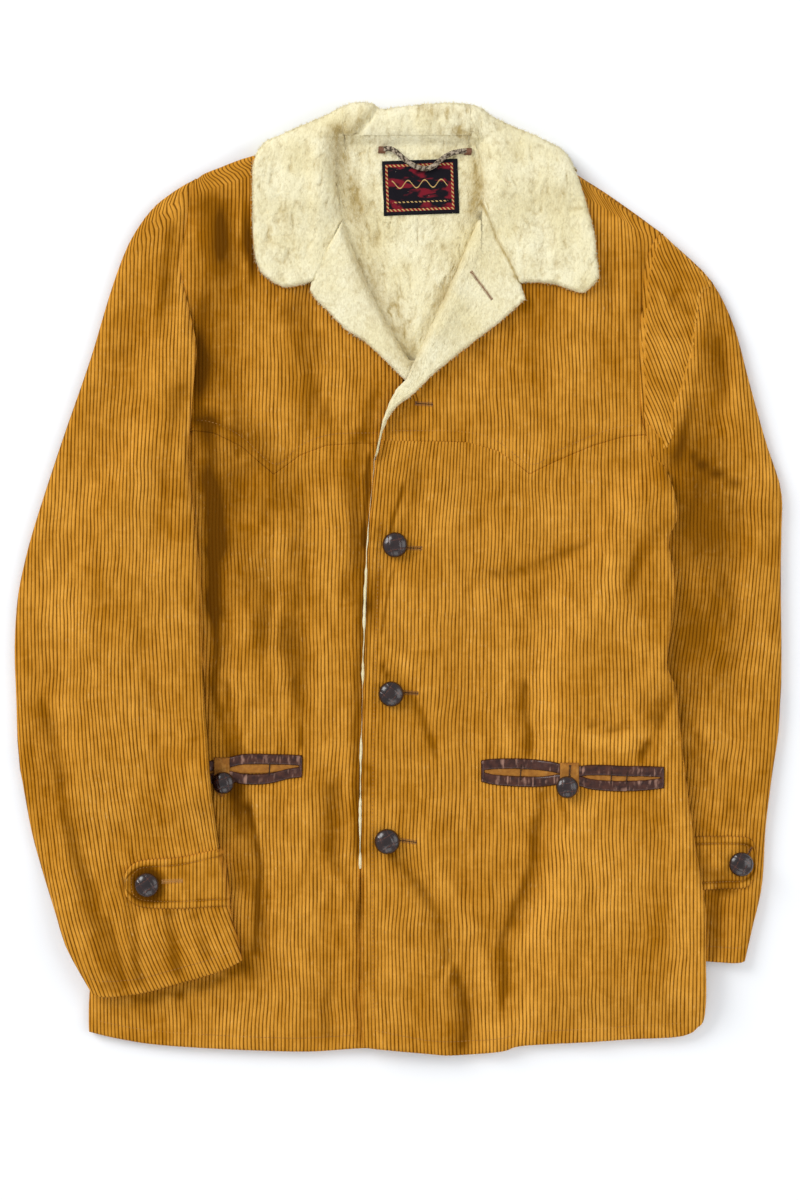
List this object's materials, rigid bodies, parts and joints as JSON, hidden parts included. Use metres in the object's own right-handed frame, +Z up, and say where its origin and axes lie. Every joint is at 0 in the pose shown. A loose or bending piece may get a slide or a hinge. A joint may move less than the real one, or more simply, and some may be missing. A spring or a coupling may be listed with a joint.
{
  "type": "sherpa lined jacket",
  "caption": "Tan corduroy jacket with a pile lining and collar, pointed front yokes and leather trim, laid flat with its front closed over itself.",
  "frame": {"origin": "on the table under the middle of the chest, where the back of the jacket rests", "axes": "+Z up from the table, +Y from the hem to the collar, +X to the wearer's left"},
  "size_m": [0.6925, 0.86, 0.0365],
  "materials": {
    "corduroy": "wide wale cotton corduroy, brushed nap",
    "sherpa": "cream curled pile",
    "leather": "smooth brown leather, semi-gloss",
    "ribbon": "woven ribbon, dark red on black",
    "cord": "twisted grey brown cord",
    "thread": "red brown sewing thread"
  },
  "bodies": {
    "root": {"back_body": "corduroy", "front_right_yoke": "corduroy", "front_right_panel": "corduroy", "front_left_yoke": "corduroy", "front_left_panel": "corduroy", "sleeve_right": "corduroy", "sleeve_left": "corduroy", "lapel_right_turn": "corduroy", "lapel_left_turn": "corduroy", "collar_under_right": "corduroy", "collar_under_left": "corduroy", "cuff_tab_right": "corduroy", "cuff_tab_left": "corduroy", "back_neck_lining": "sherpa", "lapel_right_facing": "sherpa", "lapel_left_facing": "sherpa", "collar_top": "sherpa", "front_left_facing_edge": "sherpa", "pocket_left_welt_upper": "leather", "pocket_left_welt_lower": "leather", "pocket_left_tab": "leather", "pocket_left_button": "leather", "pocket_right_welt_upper": "leather", "pocket_right_welt_lower": "leather", "pocket_right_tab": "leather", "pocket_right_button": "leather", "front_button_1": "leather", "front_button_2": "leather", "front_button_3": "leather", "cuff_button_right": "leather", "cuff_button_left": "leather", "neck_label": "ribbon", "hanger_loop": "cord", "loop_tack_right": "thread", "loop_tack_left": "thread"}
  },
  "joints": []
}
